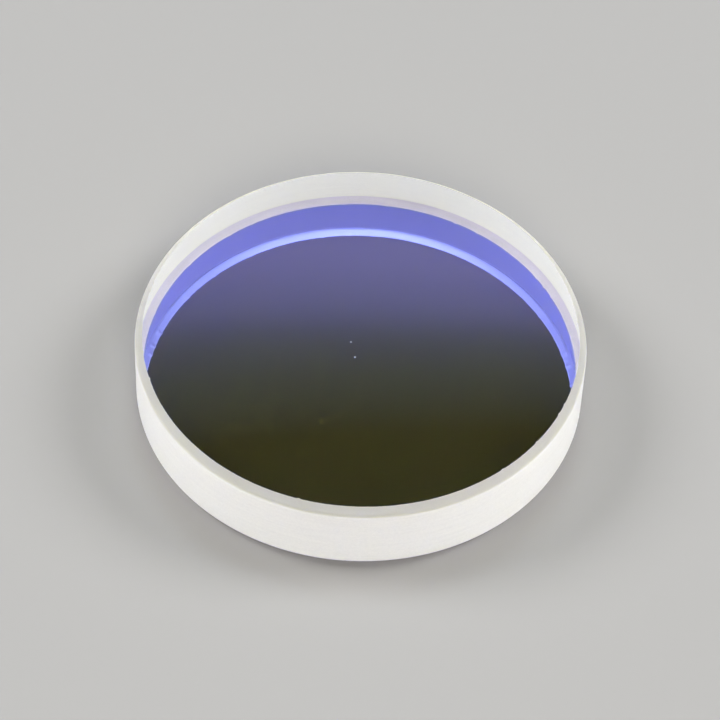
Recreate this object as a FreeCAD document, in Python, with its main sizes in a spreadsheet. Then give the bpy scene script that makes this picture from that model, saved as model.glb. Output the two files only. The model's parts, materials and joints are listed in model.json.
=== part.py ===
import FreeCAD, Part
import os
import Sketcher

# Laser protective window: one thick disc of fused silica.
# Both faces are polished flat, the rim is fine ground, and a ground bevel breaks each of its two edges.
# The origin is the centre of the lower face, and +Z is the optical axis.

NODE = "protective_window"

# name, value in millimetres or degrees, what it sets
DRIVING_SIZES = (
    ("diameter", 37.0, "outside diameter of the ground rim"),
    ("thickness", 7.0, "distance between the two polished faces"),
    ("bevel_width", 0.6, "how far a bevel takes its polished face in from the rim"),
    ("bevel_angle", 45.0, "angle between a bevel and its polished face"),
)

# what one bevel takes off the height of the rim
BEVEL_DROP = "sizes.bevel_width * tan(sizes.bevel_angle * 1 deg)"

START = 1
END = 2
SKETCH_ORIGIN = (-1, 1)


def make_sizes(doc):
    """The sheet of driving sizes: name, value, meaning."""
    sizes = doc.addObject("Spreadsheet::Sheet", "sizes")
    for row, (name, value, meaning) in enumerate(DRIVING_SIZES, start=1):
        sizes.set(f"A{row}", name)
        sizes.set(f"B{row}", str(value))
        sizes.setAlias(f"B{row}", name)
        sizes.set(f"C{row}", meaning)
    doc.recompute()
    return sizes


def origin_plane(body, role):
    """One of the body's own origin planes, found by its role."""
    for feature in body.Origin.OriginFeatures:
        if feature.Role == role:
            return feature
    raise RuntimeError(f"{body.Label} has no origin plane {role}")


def draw_half_section(body, sizes):
    """The half of the disc's section that lies on one side of the axis.

    Its edges run up the axis, out along the upper face, down the upper bevel, the rim
    and the lower bevel, and back in along the lower face.
    """
    radius = sizes.diameter / 2
    height = sizes.thickness
    bevel = sizes.bevel_width
    corners = [
        FreeCAD.Vector(0, 0),
        FreeCAD.Vector(0, height),
        FreeCAD.Vector(radius - bevel, height),
        FreeCAD.Vector(radius, height - bevel),
        FreeCAD.Vector(radius, bevel),
        FreeCAD.Vector(radius - bevel, 0),
    ]

    section = body.newObject("Sketcher::SketchObject", "half_section")
    section.AttachmentSupport = [(origin_plane(body, "XZ_Plane"), "")]
    section.MapMode = "FlatFace"
    edges = [
        section.addGeometry(Part.LineSegment(start, end))
        for start, end in zip(corners, corners[1:] + corners[:1])
    ]
    axis, upper_face, upper_bevel, rim, lower_bevel, lower_face = edges

    def rule(*constraint):
        return section.addConstraint(Sketcher.Constraint(*constraint))

    def size(name, expression, *constraint):
        section.renameConstraint(rule(*constraint), name)
        section.setExpression(f"Constraints.{name}", expression)

    for edge, following in zip(edges, edges[1:] + edges[:1]):
        rule("Coincident", edge, END, following, START)
    rule("Coincident", axis, START, *SKETCH_ORIGIN)
    for upright in (axis, rim):
        rule("Vertical", upright)
    for level in (upper_face, lower_face):
        rule("Horizontal", level)

    size("thickness", "sizes.thickness", "DistanceY", axis, START, axis, END, height)
    size("rim_radius", "sizes.diameter / 2", "DistanceX", axis, START, rim, START, radius)
    size("upper_bevel_width", "sizes.bevel_width",
         "DistanceX", upper_bevel, START, upper_bevel, END, bevel)
    size("upper_bevel_drop", BEVEL_DROP,
         "DistanceY", upper_bevel, END, upper_bevel, START, bevel)
    size("lower_bevel_width", "sizes.bevel_width",
         "DistanceX", lower_bevel, END, lower_bevel, START, bevel)
    size("lower_bevel_drop", BEVEL_DROP,
         "DistanceY", lower_bevel, END, lower_bevel, START, bevel)
    return section


def make_window(doc, sizes):
    """The whole disc: its half section turned once about the optical axis."""
    body = doc.addObject("PartDesign::Body", NODE)
    body.Label = NODE
    body.Placement = FreeCAD.Placement()
    section = draw_half_section(body, sizes)
    disc = body.newObject("PartDesign::Revolution", "disc")
    disc.Profile = section
    disc.ReferenceAxis = (section, ["V_Axis"])
    disc.Angle = 360
    doc.recompute()
    if not section.FullyConstrained:
        raise RuntimeError("the half section is not fully constrained")
    return body


def check(doc, bodies):
    """Stop if an object of the document failed or a body is not one sound solid."""
    failed = [item.Name for item in doc.Objects if {"Invalid", "Error"} & set(item.State)]
    if failed:
        raise RuntimeError("failed: " + ", ".join(failed))
    for body in bodies:
        shape = body.Shape
        if shape.isNull() or not shape.isValid() or len(shape.Solids) != 1:
            raise RuntimeError(f"{body.Label} is not one valid solid")


def write_steps(bodies):
    """One STEP file for each body, named by its label."""
    os.makedirs("parts", exist_ok=True)
    for body in bodies:
        body.Shape.exportStep(f"parts/{body.Label}.step")
        print(f"{body.Label}: {body.Shape.Volume:.3f} mm3")


def main():
    doc = FreeCAD.newDocument("laser_protective_window")
    sizes = make_sizes(doc)
    bodies = [make_window(doc, sizes)]
    check(doc, bodies)
    write_steps(bodies)


main()
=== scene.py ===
import json
import math
import random

import bmesh
import bpy
from bpy.props import FloatProperty, FloatVectorProperty, IntProperty, PointerProperty
from bpy.types import Operator, Panel, PropertyGroup
from mathutils import Matrix, Vector


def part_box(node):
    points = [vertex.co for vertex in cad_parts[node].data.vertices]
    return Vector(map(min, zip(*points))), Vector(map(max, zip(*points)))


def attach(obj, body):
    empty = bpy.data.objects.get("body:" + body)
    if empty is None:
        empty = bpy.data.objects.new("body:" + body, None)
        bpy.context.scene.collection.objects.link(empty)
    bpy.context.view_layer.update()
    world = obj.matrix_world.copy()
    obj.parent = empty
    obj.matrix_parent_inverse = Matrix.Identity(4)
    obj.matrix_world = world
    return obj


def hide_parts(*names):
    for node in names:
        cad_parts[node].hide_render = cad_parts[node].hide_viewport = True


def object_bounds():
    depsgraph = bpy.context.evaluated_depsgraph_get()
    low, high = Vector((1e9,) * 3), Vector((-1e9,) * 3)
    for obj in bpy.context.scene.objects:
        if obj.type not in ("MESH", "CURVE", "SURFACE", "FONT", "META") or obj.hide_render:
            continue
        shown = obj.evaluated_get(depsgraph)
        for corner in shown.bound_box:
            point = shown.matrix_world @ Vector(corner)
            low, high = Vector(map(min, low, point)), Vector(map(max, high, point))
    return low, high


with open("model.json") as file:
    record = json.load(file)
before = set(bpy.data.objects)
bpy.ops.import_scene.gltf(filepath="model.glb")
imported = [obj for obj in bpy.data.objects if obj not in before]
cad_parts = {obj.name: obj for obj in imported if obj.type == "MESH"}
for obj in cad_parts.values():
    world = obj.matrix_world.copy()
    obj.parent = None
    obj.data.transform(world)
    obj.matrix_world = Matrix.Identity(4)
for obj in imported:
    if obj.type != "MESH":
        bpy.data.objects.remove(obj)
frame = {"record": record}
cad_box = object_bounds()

bl_info = {
    "name": "Laser protective window",
    "version": (1, 0, 0),
    "blender": (4, 5, 0),
    "location": "3D View > Sidebar > Laser window",
    "description": "A thick coated silica window with a ground rim, on a pale studio floor",
    "category": "Add Mesh",
}

NODE = "protective_window"
PIECE = "coated_silica_disc"
# one millimetre, in metres
MM = 0.001
# two corners of the mesh that differ by less than this are at one height, in metres
LEVEL_TOLERANCE = 1e-7
# least upright part of a face's unit normal, on a polished face and on a bevel
POLISHED_NORMAL = 0.9999
BEVEL_NORMAL = 0.3
# two faces that meet at less than this angle are shaded as one curved surface
SMOOTH_ANGLE = math.radians(12)

# The disc's size is the frame's. The record's rim mount tells how much of the height the bevels take.
disc_low, disc_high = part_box(NODE)
RADIUS = (disc_high.x - disc_low.x) / 2
THICKNESS = disc_high.z - disc_low.z
rim_mount = next(mount for mount in frame["record"]["mounts"] if mount["name"] == "rim")
BEVEL = (THICKNESS - rim_mount["dims"]["length_mm"] * MM) / 2


class DiscShape(PropertyGroup):
    """Sizes of the disc's mesh"""

    radius: FloatProperty(
        name="Radius", description="Outside radius of the ground rim",
        default=RADIUS, unit="LENGTH")
    thickness: FloatProperty(
        name="Thickness", description="Distance between the polished faces",
        default=THICKNESS, unit="LENGTH")
    bevel: FloatProperty(
        name="Bevel", description="Width of the ground bevel at each edge",
        default=BEVEL, unit="LENGTH")
    facets: IntProperty(
        name="Facets", description="Straight sides that make up the round rim",
        default=512)
    polished_edge_softness: FloatProperty(
        name="Polished edge softness", description="How far the edge of a polished face is worn round",
        default=0.03 * MM, unit="LENGTH")
    ground_edge_softness: FloatProperty(
        name="Ground edge softness", description="How far the edge between rim and bevel is ground round",
        default=0.3 * MM, unit="LENGTH")
    chipping: FloatProperty(
        name="Chipping", description="How far the grinding breaks in over a polished face",
        default=0.015 * MM, unit="LENGTH")
    chip_depth: FloatProperty(
        name="Chip depth", description="How far the larger chips reach in over a polished face",
        default=0.07 * MM, unit="LENGTH")
    chip_share: FloatProperty(
        name="Chip share", description="Share of the edge that the larger chips take",
        subtype="FACTOR", min=0.0, max=1.0, default=0.04)
    chipping_seed: IntProperty(
        name="Chipping seed", description="Picks another run of tiny chips", default=7)
    face_rings: IntProperty(
        name="Face rings", description="Rings of quads across each polished face", default=3)


class DiscFinish(PropertyGroup):
    """Colours and coatings of the disc"""

    glass_ior: FloatProperty(
        name="Glass IOR", description="Refractive index of fused silica", default=1.458)
    mirror_film_ior: FloatProperty(
        name="Lower coating IOR", description="Refractive index of the lower face's coating",
        default=7.0)
    mirror_film: FloatProperty(
        name="Lower coating", description="Thickness of the lower face's coating in nanometres",
        default=59.2)
    clear_film_ior: FloatProperty(
        name="Upper coating IOR", description="Refractive index of the upper face's coating",
        default=1.22)
    clear_film: FloatProperty(
        name="Upper coating", description="Thickness of the upper face's coating in nanometres",
        default=139.0)
    passed_light: FloatVectorProperty(
        name="Passed light", description="Colour that the lower coating lets through",
        subtype="COLOR", min=0.0, max=1.0, default=(0.57, 0.90, 0.25))
    ground_colour: FloatVectorProperty(
        name="Ground silica", description="Colour of the fine-ground rim",
        subtype="COLOR", min=0.0, max=1.0, default=(0.945, 0.92, 0.83))
    # painted shade: the upper bevel is the same ground silica as the rim, coloured darker than it
    upper_bevel_shaded_colour: FloatVectorProperty(
        name="Upper bevel", description="Colour of the upper bevel",
        subtype="COLOR", min=0.0, max=1.0, default=(0.86, 0.85, 0.78))
    # painted light: the lower bevel is the same ground silica as the rim, tinted blue for the blue light
    # from the coated faces
    lower_bevel_bluelit_colour: FloatVectorProperty(
        name="Lower bevel", description="Colour of the lower bevel",
        subtype="COLOR", min=0.0, max=1.0, default=(0.86, 0.83, 0.98))
    rim_passed: FloatVectorProperty(
        name="Passed by the rim", description="Colour of the light that comes through the ground rim",
        subtype="COLOR", min=0.0, max=1.0, default=(0.94, 0.96, 0.95))
    upper_bevel_passed: FloatVectorProperty(
        name="Passed by the upper bevel", description="Colour of the light that comes through it",
        subtype="COLOR", min=0.0, max=1.0, default=(1.0, 0.98, 0.68))
    lower_bevel_passed: FloatVectorProperty(
        name="Passed by the lower bevel", description="Colour of the light that comes through it",
        subtype="COLOR", min=0.0, max=1.0, default=(0.90, 0.86, 1.0))
    rim_light_through: FloatProperty(
        name="Light through the rim", description="Share of light that the ground rim lets in",
        subtype="FACTOR", min=0.0, max=1.0, default=0.48)
    upper_bevel_light_through: FloatProperty(
        name="Light through the upper bevel", description="Share of light that it lets in",
        subtype="FACTOR", min=0.0, max=1.0, default=0.55)
    lower_bevel_light_through: FloatProperty(
        name="Light through the lower bevel", description="Share of light that it lets in",
        subtype="FACTOR", min=0.0, max=1.0, default=0.25)


class StageSettings(PropertyGroup):
    """Floor, lamps and camera"""

    floor_colour: FloatVectorProperty(
        name="Floor", description="Colour of the pale floor",
        subtype="COLOR", min=0.0, max=1.0, default=(0.245, 0.241, 0.24))
    floor_radius: FloatProperty(
        name="Floor radius", description="Radius of the round floor",
        default=0.8, unit="LENGTH")
    fade_start: FloatProperty(
        name="Fade start", description="Distance at which the floor begins to fade into the background",
        default=0.3, unit="LENGTH")
    seat_gap: FloatProperty(
        name="Seat gap", description="Air under the disc, so that the floor and the face stay apart",
        default=0.05 * MM, unit="LENGTH")
    lamp_distance: FloatProperty(
        name="Lamp distance", description="From the disc to each soft lamp",
        default=1.0, unit="LENGTH")
    even_light: FloatProperty(
        name="Even light", description="Strength of the even light that the room sheds",
        default=0.35)
    camera_elevation: FloatProperty(
        name="Camera elevation", description="Angle of the camera above the floor",
        subtype="ANGLE", default=math.radians(50.16))
    camera_roll: FloatProperty(
        name="Camera roll", description="How far the disc's axis leans to the right in the picture",
        subtype="ANGLE", default=math.radians(2.5))
    camera_distance: FloatProperty(
        name="Camera distance", description="From the disc's centre to the lens",
        default=274 * MM, unit="LENGTH")
    lens: FloatProperty(
        name="Lens", description="Focal length in millimetres, on a 36 mm wide frame",
        default=166.0)


def deselect():
    """Leave edit mode and select nothing."""
    if bpy.context.object and bpy.context.object.mode != "OBJECT":
        bpy.ops.object.mode_set(mode="OBJECT")
    bpy.ops.object.select_all(action="DESELECT")


def pick(piece, kind, test):
    """In edit mode, select the piece's VERT, EDGE or FACE elements that pass the test, and no others."""
    bpy.ops.mesh.select_mode(type=kind)
    bpy.ops.mesh.select_all(action="DESELECT")
    mesh = bmesh.from_edit_mesh(piece.data)
    elements = {"VERT": mesh.verts, "EDGE": mesh.edges, "FACE": mesh.faces}[kind]
    found = [element for element in elements if test(element)]
    if not found:
        raise RuntimeError(f"{piece.name}: nothing of kind {kind} passes the test")
    for element in found:
        element.select_set(True)
    bmesh.update_edit_mesh(piece.data)


def distance_from_axis(point):
    """How far a point of the mesh is from the optical axis."""
    return math.hypot(point.x, point.y)


def is_level(edge):
    """True for an edge that runs round the disc, at one height."""
    low, high = sorted(vertex.co.z for vertex in edge.verts)
    return high - low < LEVEL_TOLERANCE


def is_polished(face):
    """True for a part of the upper or lower polished face."""
    return abs(face.normal.z) > POLISHED_NORMAL


def chip_edge(piece, shape, height, seed):
    """Break the edge of the polished face at this height a little all round, and deeper in a few places."""
    polished_edge = shape.radius - shape.bevel
    half_bevel = shape.bevel / 2

    def on_edge(vertex):
        return (abs(vertex.co.z - height) < half_bevel
                and distance_from_axis(vertex.co) > polished_edge - half_bevel)

    pick(piece, "VERT", on_edge)
    bpy.ops.transform.vertex_random(offset=shape.chipping, seed=seed)
    bpy.ops.transform.resize(value=(1, 1, 0), center_override=(0, 0, height))
    chance = random.Random(seed)
    pick(piece, "VERT", lambda vertex: on_edge(vertex) and chance.random() < shape.chip_share)
    inward = 1 - shape.chip_depth / polished_edge
    bpy.ops.transform.resize(value=(inward, inward, 1), center_override=(0, 0, height))


def model_disc(shape):
    """The disc as it is made: a round blank, bevelled, its edges chipped a little and worn round."""
    deselect()
    bpy.ops.mesh.primitive_cylinder_add(
        vertices=shape.facets, radius=shape.radius, depth=shape.thickness,
        end_fill_type="NGON", location=(0, 0, shape.thickness / 2))
    piece = bpy.context.object
    piece.name = PIECE
    piece.data.name = PIECE
    bpy.ops.object.transform_apply(location=True, rotation=True, scale=True)
    bpy.ops.object.mode_set(mode="EDIT")

    pick(piece, "EDGE", is_level)
    bpy.ops.mesh.bevel(offset=shape.bevel, offset_type="OFFSET", segments=1, affect="EDGES")

    pick(piece, "FACE", lambda face: len(face.verts) == shape.facets)
    ring = shape.radius / (shape.face_rings + 1)
    for _ in range(shape.face_rings):
        bpy.ops.mesh.inset(thickness=ring)
    bpy.ops.mesh.poke()

    chip_edge(piece, shape, 0, shape.chipping_seed)
    chip_edge(piece, shape, shape.thickness, shape.chipping_seed + 1)

    middle = shape.radius - shape.bevel / 2
    near_edge = middle - shape.bevel
    pick(piece, "EDGE", lambda edge: (
        is_level(edge) and near_edge < distance_from_axis(edge.verts[0].co) < middle
        and distance_from_axis(edge.verts[1].co) > near_edge))
    bpy.ops.mesh.bevel(
        offset=shape.polished_edge_softness, offset_type="OFFSET", segments=2, affect="EDGES")
    pick(piece, "EDGE", lambda edge: is_level(edge) and distance_from_axis(edge.verts[0].co) > middle)
    bpy.ops.mesh.bevel(
        offset=shape.ground_edge_softness, offset_type="OFFSET", segments=5, affect="EDGES")
    bpy.ops.object.mode_set(mode="OBJECT")
    bpy.ops.object.shade_smooth_by_angle(angle=SMOOTH_ANGLE)
    # the polished faces stay optically flat right out to their edges
    bpy.ops.object.mode_set(mode="EDIT")
    pick(piece, "EDGE", lambda edge: sum(is_polished(face) for face in edge.link_faces) == 1)
    bpy.ops.mesh.mark_sharp()
    bpy.ops.object.mode_set(mode="OBJECT")
    return piece


def finish_faces(piece, finishes):
    """Give each region of the disc its material. finishes is (material, test of a face's normal)."""
    for material, _ in finishes:
        piece.data.materials.append(material)
    bpy.ops.object.mode_set(mode="EDIT")
    for index, (_, test) in enumerate(finishes):
        pick(piece, "FACE", lambda face: test(face.normal))
        piece.active_material_index = index
        bpy.ops.object.material_slot_assign()
    bpy.ops.object.mode_set(mode="OBJECT")


def add_socket(group, name, in_out, value=None):
    """Give a node group a number as an input or an output, with its default where it has one."""
    socket = group.interface.new_socket(name=name, in_out=in_out, socket_type="NodeSocketFloat")
    if value is not None:
        socket.default_value = value


def wire(tree, source, target):
    """Link an output of one node to an input of another."""
    tree.links.new(source, target)


# how fast the wheel lines change across the disc, where 1 is how fast they change along its axis
LINE_STRETCH = 0.04
# the wheel lines' share of the grain
LINE_SHARE = 0.35
# how deep the grinding's pits are, in metres
PIT_DEPTH = 0.02 * MM


def ground_grain_group():
    """Fine-ground silica: a speckle of pits, and faint lines that the wheel left round the rim.

    Tone is about 1 and scales a colour. Height is for a Bump node.
    """
    group = bpy.data.node_groups.new("ground_grain", "ShaderNodeTree")
    add_socket(group, "Grain size", "INPUT", 0.15 * MM)
    add_socket(group, "Line height", "INPUT", 0.25 * MM)
    add_socket(group, "Contrast", "INPUT", 0.06)
    add_socket(group, "Tone", "OUTPUT")
    add_socket(group, "Height", "OUTPUT")
    nodes = group.nodes
    given = nodes.new("NodeGroupInput")
    result = nodes.new("NodeGroupOutput")
    place = nodes.new("ShaderNodeTexCoord")

    grain_scale = nodes.new("ShaderNodeMath")
    grain_scale.operation = "DIVIDE"
    grain_scale.inputs[0].default_value = 1
    wire(group, given.outputs["Grain size"], grain_scale.inputs[1])
    pits = nodes.new("ShaderNodeTexNoise")
    pits.inputs["Detail"].default_value = 3
    pits.inputs["Roughness"].default_value = 0.65
    wire(group, place.outputs["Object"], pits.inputs["Vector"])
    wire(group, grain_scale.outputs[0], pits.inputs["Scale"])

    stretch = nodes.new("ShaderNodeVectorMath")
    stretch.operation = "MULTIPLY"
    stretch.inputs[1].default_value = (LINE_STRETCH, LINE_STRETCH, 1)
    wire(group, place.outputs["Object"], stretch.inputs[0])
    line_scale = nodes.new("ShaderNodeMath")
    line_scale.operation = "DIVIDE"
    line_scale.inputs[0].default_value = 1
    wire(group, given.outputs["Line height"], line_scale.inputs[1])
    lines = nodes.new("ShaderNodeTexNoise")
    lines.inputs["Detail"].default_value = 2
    wire(group, stretch.outputs[0], lines.inputs["Vector"])
    wire(group, line_scale.outputs[0], lines.inputs["Scale"])

    both = nodes.new("ShaderNodeMix")
    both.data_type = "FLOAT"
    both.inputs["Factor"].default_value = LINE_SHARE
    wire(group, pits.outputs["Fac"], both.inputs["A"])
    wire(group, lines.outputs["Fac"], both.inputs["B"])
    swing = nodes.new("ShaderNodeMath")
    swing.operation = "MULTIPLY_ADD"
    wire(group, both.outputs["Result"], swing.inputs[0])
    wire(group, given.outputs["Contrast"], swing.inputs[1])
    centre = nodes.new("ShaderNodeMath")
    centre.operation = "MULTIPLY_ADD"
    centre.inputs[1].default_value = -0.5
    centre.inputs[2].default_value = 1
    wire(group, given.outputs["Contrast"], centre.inputs[0])
    wire(group, centre.outputs[0], swing.inputs[2])
    wire(group, swing.outputs[0], result.inputs["Tone"])
    wire(group, both.outputs["Result"], result.inputs["Height"])
    return group


def painted_shading_group():
    """Painted light and shade: a tone that changes with the distance from the optical axis, from a bevel's
    inner edge to the rim.
    """
    group = bpy.data.node_groups.new("bevel_painted_shading", "ShaderNodeTree")
    add_socket(group, "Inner edge", "INPUT")
    add_socket(group, "Rim", "INPUT")
    add_socket(group, "Inner tone", "INPUT", 1.0)
    add_socket(group, "Rim tone", "INPUT", 1.0)
    add_socket(group, "Tone", "OUTPUT")
    nodes = group.nodes
    given = nodes.new("NodeGroupInput")
    result = nodes.new("NodeGroupOutput")
    place = nodes.new("ShaderNodeTexCoord")
    level = nodes.new("ShaderNodeVectorMath")
    level.operation = "MULTIPLY"
    level.inputs[1].default_value = (1, 1, 0)
    wire(group, place.outputs["Object"], level.inputs[0])
    away = nodes.new("ShaderNodeVectorMath")
    away.operation = "LENGTH"
    wire(group, level.outputs[0], away.inputs[0])
    across = nodes.new("ShaderNodeMapRange")
    wire(group, away.outputs["Value"], across.inputs["Value"])
    for name, end in (
        ("Inner edge", "From Min"),
        ("Rim", "From Max"),
        ("Inner tone", "To Min"),
        ("Rim tone", "To Max"),
    ):
        wire(group, given.outputs[name], across.inputs[end])
    wire(group, across.outputs["Result"], result.inputs["Tone"])
    return group


# x, y and z in millimetres of each speck, and its radius
SPECKS = (
    (-0.81, 2.40, 0.0, 0.09),
    (-0.42, 0.80, 0.0, 0.10),
)
SPECK_ROUGHNESS = 0.7
SPECK_COAT_ROUGHNESS = 0.6


def dust_group():
    """Specks of dust at given places. Mask is 1 in the middle of a speck and fades to its rim."""
    group = bpy.data.node_groups.new("dust", "ShaderNodeTree")
    add_socket(group, "Mask", "OUTPUT")
    nodes = group.nodes
    result = nodes.new("NodeGroupOutput")
    place = nodes.new("ShaderNodeTexCoord")
    masks = []
    for x, y, z, radius in SPECKS:
        away = nodes.new("ShaderNodeVectorMath")
        away.operation = "DISTANCE"
        away.inputs[1].default_value = (x * MM, y * MM, z * MM)
        wire(group, place.outputs["Object"], away.inputs[0])
        speck = nodes.new("ShaderNodeMapRange")
        speck.inputs["From Min"].default_value = radius * MM
        speck.inputs["From Max"].default_value = radius * MM / 2
        wire(group, away.outputs["Value"], speck.inputs["Value"])
        masks.append(speck.outputs["Result"])
    while len(masks) > 1:
        larger = nodes.new("ShaderNodeMath")
        larger.operation = "MAXIMUM"
        wire(group, masks.pop(), larger.inputs[0])
        wire(group, masks.pop(), larger.inputs[1])
        masks.append(larger.outputs[0])
    wire(group, masks[0], result.inputs["Mask"])
    return group


def ground_silica(name, glass_ior, colour, passed, light_through, grain, grain_size, contrast,
                  frosted=0.0, fade=None, shading_values=()):
    """Fine-ground silica, lit through its skin from both sides.

    frosted is the share that shows as frosted glass. fade is the group that paints light and shade across a
    bevel, and shading_values are its inputs, as (name, value).
    """
    material = bpy.data.materials.new(name)
    material.use_nodes = True
    tree = material.node_tree
    nodes = tree.nodes
    nodes.clear()
    pattern = nodes.new("ShaderNodeGroup")
    pattern.node_tree = grain
    pattern.inputs["Grain size"].default_value = grain_size
    pattern.inputs["Contrast"].default_value = contrast
    tinted = nodes.new("ShaderNodeVectorMath")
    tinted.operation = "SCALE"
    tinted.inputs[0].default_value = colour
    tone = pattern.outputs["Tone"]
    # painted light and shade: the bevel's tone is scaled from its inner edge to the rim
    if fade:
        across = nodes.new("ShaderNodeGroup")
        across.node_tree = fade
        for socket, value in shading_values:
            across.inputs[socket].default_value = value
        shaded_tone = nodes.new("ShaderNodeMath")
        shaded_tone.operation = "MULTIPLY"
        wire(tree, tone, shaded_tone.inputs[0])
        wire(tree, across.outputs["Tone"], shaded_tone.inputs[1])
        tone = shaded_tone.outputs[0]
    wire(tree, tone, tinted.inputs["Scale"])
    bump = nodes.new("ShaderNodeBump")
    bump.inputs["Strength"].default_value = 0.35
    bump.inputs["Distance"].default_value = PIT_DEPTH
    wire(tree, pattern.outputs["Height"], bump.inputs["Height"])
    skin = nodes.new("ShaderNodeBsdfPrincipled")
    skin.inputs["Roughness"].default_value = 0.6
    skin.inputs["IOR"].default_value = glass_ior
    wire(tree, tinted.outputs[0], skin.inputs["Base Color"])
    wire(tree, bump.outputs[0], skin.inputs["Normal"])
    through = nodes.new("ShaderNodeBsdfTranslucent")
    through.inputs["Color"].default_value = (*passed, 1)
    wire(tree, bump.outputs[0], through.inputs["Normal"])
    blend = nodes.new("ShaderNodeMixShader")
    blend.inputs[0].default_value = light_through
    wire(tree, skin.outputs[0], blend.inputs[1])
    wire(tree, through.outputs[0], blend.inputs[2])
    surface = blend.outputs[0]
    if frosted > 0:
        frost = nodes.new("ShaderNodeBsdfPrincipled")
        frost.inputs["Base Color"].default_value = (*passed, 1)
        frost.inputs["Roughness"].default_value = 0.55
        frost.inputs["IOR"].default_value = glass_ior
        frost.inputs["Transmission Weight"].default_value = 1
        wire(tree, bump.outputs[0], frost.inputs["Normal"])
        whole = nodes.new("ShaderNodeMixShader")
        whole.inputs[0].default_value = frosted
        wire(tree, surface, whole.inputs[1])
        wire(tree, frost.outputs[0], whole.inputs[2])
        surface = whole.outputs[0]
    output = nodes.new("ShaderNodeOutputMaterial")
    wire(tree, surface, output.inputs["Surface"])
    return material


def coated_face(name, dust, colour, glass_ior, film, film_ior):
    """A polished face under a thin coating: clear glass whose reflection the coating colours.

    Specks of dust stand on it as tiny matt spots.
    """
    material = bpy.data.materials.new(name)
    material.use_nodes = True
    tree = material.node_tree
    nodes = tree.nodes
    nodes.clear()
    glass = nodes.new("ShaderNodeBsdfPrincipled")
    glass.inputs["Base Color"].default_value = (*colour, 1)
    specks = nodes.new("ShaderNodeGroup")
    specks.node_tree = dust
    matt = nodes.new("ShaderNodeMath")
    matt.operation = "MULTIPLY"
    matt.inputs[1].default_value = SPECK_ROUGHNESS
    wire(tree, specks.outputs["Mask"], matt.inputs[0])
    wire(tree, matt.outputs[0], glass.inputs["Roughness"])
    wire(tree, specks.outputs["Mask"], glass.inputs["Coat Weight"])
    glass.inputs["Coat Roughness"].default_value = SPECK_COAT_ROUGHNESS
    glass.inputs["IOR"].default_value = glass_ior
    glass.inputs["Transmission Weight"].default_value = 1
    glass.inputs["Thin Film Thickness"].default_value = film
    glass.inputs["Thin Film IOR"].default_value = film_ior
    output = nodes.new("ShaderNodeOutputMaterial")
    wire(tree, glass.outputs[0], output.inputs["Surface"])
    return material


class LASERWINDOW_OT_disc(Operator):
    """Model the coated silica disc and give each of its surfaces its finish"""

    bl_idname = "laser_window.disc"
    bl_label = "Coated silica disc"

    def execute(self, context):
        shape = context.scene.disc_shape
        finish = context.scene.disc_finish
        piece = model_disc(shape)
        grain = ground_grain_group()
        dust = dust_group()
        bevel_painted_shading = painted_shading_group()
        bevel_span = (("Inner edge", shape.radius - shape.bevel), ("Rim", shape.radius))
        upper = coated_face(
            "clear_coated_face", dust, (1, 1, 1), finish.glass_ior,
            finish.clear_film, finish.clear_film_ior)
        lower = coated_face(
            "mirror_coated_face", dust, finish.passed_light, finish.glass_ior,
            finish.mirror_film, finish.mirror_film_ior)
        rim = ground_silica(
            "ground_rim", finish.glass_ior, finish.ground_colour, finish.rim_passed,
            finish.rim_light_through, grain, grain_size=0.18 * MM, contrast=0.4)
        # painted light and shade on the upper bevel: darker at its inner edge, lighter towards the rim
        upper_bevel = ground_silica(
            "ground_upper_bevel", finish.glass_ior, finish.upper_bevel_shaded_colour, finish.upper_bevel_passed,
            finish.upper_bevel_light_through, grain, grain_size=0.12 * MM, contrast=0.5, frosted=0.5,
            fade=bevel_painted_shading, shading_values=(*bevel_span, ("Inner tone", 0.97), ("Rim tone", 1.16)))
        # painted shade on the lower bevel: darker towards the rim
        lower_bevel = ground_silica(
            "ground_lower_bevel", finish.glass_ior, finish.lower_bevel_bluelit_colour, finish.lower_bevel_passed,
            finish.lower_bevel_light_through, grain, grain_size=0.12 * MM, contrast=0.5,
            fade=bevel_painted_shading, shading_values=(*bevel_span, ("Inner tone", 0.93), ("Rim tone", 0.82)))
        finish_faces(piece, (
            (rim, lambda normal: True),
            (upper_bevel, lambda normal: normal.z > BEVEL_NORMAL),
            (lower_bevel, lambda normal: normal.z < -BEVEL_NORMAL),
            (upper, lambda normal: normal.z > POLISHED_NORMAL),
            (lower, lambda normal: normal.z < -POLISHED_NORMAL),
        ))
        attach(piece, "root")
        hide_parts(NODE)
        return {"FINISHED"}


def add_floor(stage):
    """A round pale floor that ends in the background."""
    deselect()
    bpy.ops.mesh.primitive_circle_add(
        vertices=128, radius=stage.floor_radius, fill_type="NGON",
        location=(0, 0, -stage.seat_gap))
    floor = bpy.context.object
    floor.name = "studio_floor"
    bpy.ops.object.transform_apply(location=True, rotation=True, scale=True)
    material = bpy.data.materials.new("pale_floor")
    material.use_nodes = True
    tree = material.node_tree
    nodes = tree.nodes
    paint = nodes["Principled BSDF"]
    paint.inputs["Base Color"].default_value = (*stage.floor_colour, 1)
    paint.inputs["Roughness"].default_value = 0.75
    # far off, the floor fades into the background, so that no hard horizon shows
    place = nodes.new("ShaderNodeTexCoord")
    away = nodes.new("ShaderNodeVectorMath")
    away.operation = "LENGTH"
    wire(tree, place.outputs["Object"], away.inputs[0])
    fade = nodes.new("ShaderNodeMapRange")
    fade.interpolation_type = "SMOOTHSTEP"
    fade.inputs["From Min"].default_value = stage.fade_start
    fade.inputs["From Max"].default_value = stage.floor_radius
    wire(tree, away.outputs["Value"], fade.inputs["Value"])
    nothing = nodes.new("ShaderNodeBsdfTransparent")
    blend = nodes.new("ShaderNodeMixShader")
    wire(tree, fade.outputs["Result"], blend.inputs[0])
    wire(tree, paint.outputs[0], blend.inputs[1])
    wire(tree, nothing.outputs[0], blend.inputs[2])
    wire(tree, blend.outputs[0], nodes["Material Output"].inputs["Surface"])
    floor.data.materials.append(material)


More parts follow.
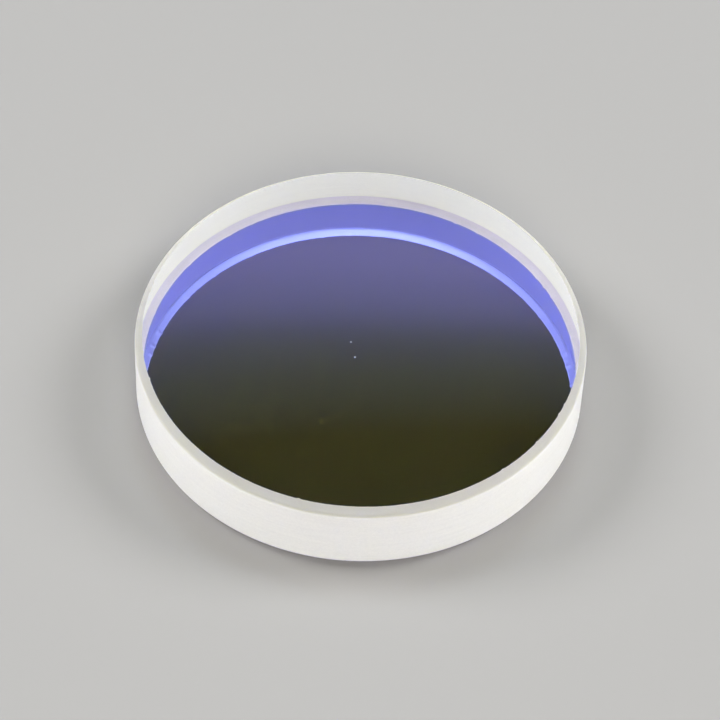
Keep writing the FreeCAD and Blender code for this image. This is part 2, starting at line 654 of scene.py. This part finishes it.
def add_lamp(stage, name, azimuth, elevation, power, colour, width):
    """A soft round lamp that looks at the disc from the given direction."""
    around = math.radians(azimuth)
    up = math.radians(elevation)
    place = Vector((
        math.sin(around) * math.cos(up), -math.cos(around) * math.cos(up), math.sin(up)))
    light = bpy.data.lights.new(name, "AREA")
    light.shape = "DISK"
    light.size = width
    light.energy = power
    light.color = colour
    lamp = bpy.data.objects.new(name, light)
    lamp.location = place * stage.lamp_distance
    lamp.rotation_euler = place.to_track_quat("Z", "Y").to_euler()
    bpy.context.scene.collection.objects.link(lamp)


# The dark room that mirrors see has pale panels all round, one above another.
# Each profile entry is an elevation in degrees from a panel's top edge, and the colour there.
PANEL_TOPS = (14.2, 24.2, 36.8, 49.5)
PANEL_PROFILE = (
    (-3.0, (0.01, 0.01, 0.01)),
    (-2.2, (0.55, 0.48, 0.38)),
    (-1.3, (0.53, 0.47, 0.37)),
    (-0.45, (0.35, 0.33, 0.25)),
    (0.1, (0.18, 0.19, 0.11)),
    (0.7, (0.11, 0.12, 0.055)),
    (1.9, (0.015, 0.015, 0.008)),
)
# Below this elevation in degrees, the room is plain.
HORIZON_TOP = 8.0
HORIZON_COLOUR = (0.54, 0.54, 0.55)
# How far a panel's edges wander up and down, as the sine of an elevation.
PANEL_WAVE = 0.03
# How often they wander on the way round, and which run of waves they follow.
PANEL_WAVE_SCALE = 6
PANEL_WAVE_SEED = 3.0
# A colour ramp holds no more stops than this.
MOST_STOPS = 32


def add_world(stage):
    """A pale room under a dark ceiling, for mirrors and the camera. The light that it sheds is even."""
    world = bpy.data.worlds.new("pale_room")
    bpy.context.scene.world = world
    world.use_nodes = True
    tree = world.node_tree
    nodes = tree.nodes
    nodes.clear()
    direction = nodes.new("ShaderNodeTexCoord")
    wave = nodes.new("ShaderNodeTexNoise")
    wave.noise_dimensions = "4D"
    wave.inputs["W"].default_value = PANEL_WAVE_SEED
    wave.inputs["Scale"].default_value = PANEL_WAVE_SCALE
    wave.inputs["Detail"].default_value = 0
    wire(tree, direction.outputs["Generated"], wave.inputs["Vector"])
    lift = nodes.new("ShaderNodeMath")
    lift.operation = "MULTIPLY_ADD"
    lift.inputs[1].default_value = PANEL_WAVE
    lift.inputs[2].default_value = -PANEL_WAVE / 2
    wire(tree, wave.outputs["Fac"], lift.inputs[0])
    parts = nodes.new("ShaderNodeSeparateXYZ")
    wire(tree, direction.outputs["Generated"], parts.inputs[0])
    height = nodes.new("ShaderNodeMath")
    wire(tree, parts.outputs["Z"], height.inputs[0])
    wire(tree, lift.outputs[0], height.inputs[1])
    top = math.sin(math.radians(PANEL_TOPS[-1] + PANEL_PROFILE[-1][0]))
    place = nodes.new("ShaderNodeMapRange")
    place.inputs["From Max"].default_value = top
    wire(tree, height.outputs["Value"], place.inputs["Value"])
    stops = [(0.0, HORIZON_COLOUR), (HORIZON_TOP, HORIZON_COLOUR)]
    for panel_top in PANEL_TOPS:
        for step, colour in PANEL_PROFILE:
            stops.append((panel_top + step, colour))
    if len(stops) > MOST_STOPS:
        raise RuntimeError(f"the room has {len(stops)} stops, and a colour ramp holds {MOST_STOPS}")
    room = nodes.new("ShaderNodeValToRGB")
    ramp = room.color_ramp
    while len(ramp.elements) < len(stops):
        ramp.elements.new(0.5)
    for element, (elevation, colour) in zip(ramp.elements, stops):
        element.position = math.sin(math.radians(elevation)) / top
        element.color = (*colour, 1)
    wire(tree, place.outputs["Result"], room.inputs["Fac"])
    seen = nodes.new("ShaderNodeBackground")
    wire(tree, room.outputs["Color"], seen.inputs["Color"])
    even = nodes.new("ShaderNodeBackground")
    even.inputs["Color"].default_value = (1, 1, 1, 1)
    even.inputs["Strength"].default_value = stage.even_light
    rays = nodes.new("ShaderNodeLightPath")
    either = nodes.new("ShaderNodeMath")
    either.operation = "MAXIMUM"
    wire(tree, rays.outputs["Is Camera Ray"], either.inputs[0])
    wire(tree, rays.outputs["Is Glossy Ray"], either.inputs[1])
    any_seen = nodes.new("ShaderNodeMath")
    any_seen.operation = "MAXIMUM"
    wire(tree, either.outputs[0], any_seen.inputs[0])
    wire(tree, rays.outputs["Is Transmission Ray"], any_seen.inputs[1])
    choose = nodes.new("ShaderNodeMixShader")
    wire(tree, any_seen.outputs[0], choose.inputs[0])
    wire(tree, even.outputs[0], choose.inputs[1])
    wire(tree, seen.outputs[0], choose.inputs[2])
    output = nodes.new("ShaderNodeOutputWorld")
    wire(tree, choose.outputs[0], output.inputs["Surface"])


def add_camera(stage):
    """The photo's camera: its direction, distance and roll, aimed at the disc's centre."""
    up = stage.camera_elevation
    back = Vector((0, -math.cos(up), math.sin(up)))
    camera = bpy.data.objects.new("camera", bpy.data.cameras.new("camera"))
    camera.data.lens = stage.lens
    camera.data.clip_start = 1 * MM
    turned = back.to_track_quat("Z", "Y").to_matrix() @ Matrix.Rotation(stage.camera_roll, 3, "Z")
    camera.matrix_world = Matrix.Translation(
        (cad_box[0] + cad_box[1]) / 2 + back * stage.camera_distance) @ turned.to_4x4()
    bpy.context.scene.collection.objects.link(camera)
    bpy.context.scene.camera = camera


WHITE = (1.0, 1.0, 1.0)
WARM = (1.0, 0.96, 0.84)
COOL = (0.82, 0.93, 1.0)
# name, azimuth in degrees (0 is in front, and it grows to the right), elevation in degrees, watts,
# colour, and diameter in metres. The rear lamp stays clear of what the polished faces mirror to the camera.
LAMPS = (
    ("left_lamp", -105, 40, 8.8, WHITE, 0.48),
    ("right_lamp", 105, 40, 8.9, WHITE, 0.48),
    ("front_lamp", 5, 40, 7.8, WARM, 0.48),
    ("rear_lamp", 180, 64.5, 2.8, COOL, 0.33),
)


class LASERWINDOW_OT_stage(Operator):
    """Add the pale floor, the soft studio light and the camera"""

    bl_idname = "laser_window.stage"
    bl_label = "Studio stage"

    def execute(self, context):
        stage = context.scene.studio_stage
        add_floor(stage)
        for lamp in LAMPS:
            add_lamp(stage, *lamp)
        add_world(stage)
        add_camera(stage)
        context.scene.view_settings.view_transform = "Standard"
        return {"FINISHED"}


class LASERWINDOW_PT_sidebar(Panel):
    """Lists the window's settings and its two steps"""

    bl_idname = "LASERWINDOW_PT_sidebar"
    bl_label = "Laser window"
    bl_space_type = "VIEW_3D"
    bl_region_type = "UI"
    bl_category = "Laser window"

    def draw(self, context):
        scene = context.scene
        for operator, groups in (
            (LASERWINDOW_OT_disc, (scene.disc_shape, scene.disc_finish)),
            (LASERWINDOW_OT_stage, (scene.studio_stage,)),
        ):
            box = self.layout.box()
            for group in groups:
                for name in group.__annotations__:
                    box.prop(group, name)
            box.operator(operator.bl_idname)


CLASSES = (
    DiscShape,
    DiscFinish,
    StageSettings,
    LASERWINDOW_OT_disc,
    LASERWINDOW_OT_stage,
    LASERWINDOW_PT_sidebar,
)


def register():
    for kind in CLASSES:
        bpy.utils.register_class(kind)
    bpy.types.Scene.disc_shape = PointerProperty(type=DiscShape)
    bpy.types.Scene.disc_finish = PointerProperty(type=DiscFinish)
    bpy.types.Scene.studio_stage = PointerProperty(type=StageSettings)


def unregister():
    del bpy.types.Scene.studio_stage
    del bpy.types.Scene.disc_finish
    del bpy.types.Scene.disc_shape
    for kind in reversed(CLASSES):
        bpy.utils.unregister_class(kind)


def main():
    register()
    bpy.ops.laser_window.disc()
    bpy.ops.laser_window.stage()


if __name__ == "__main__":
    main()
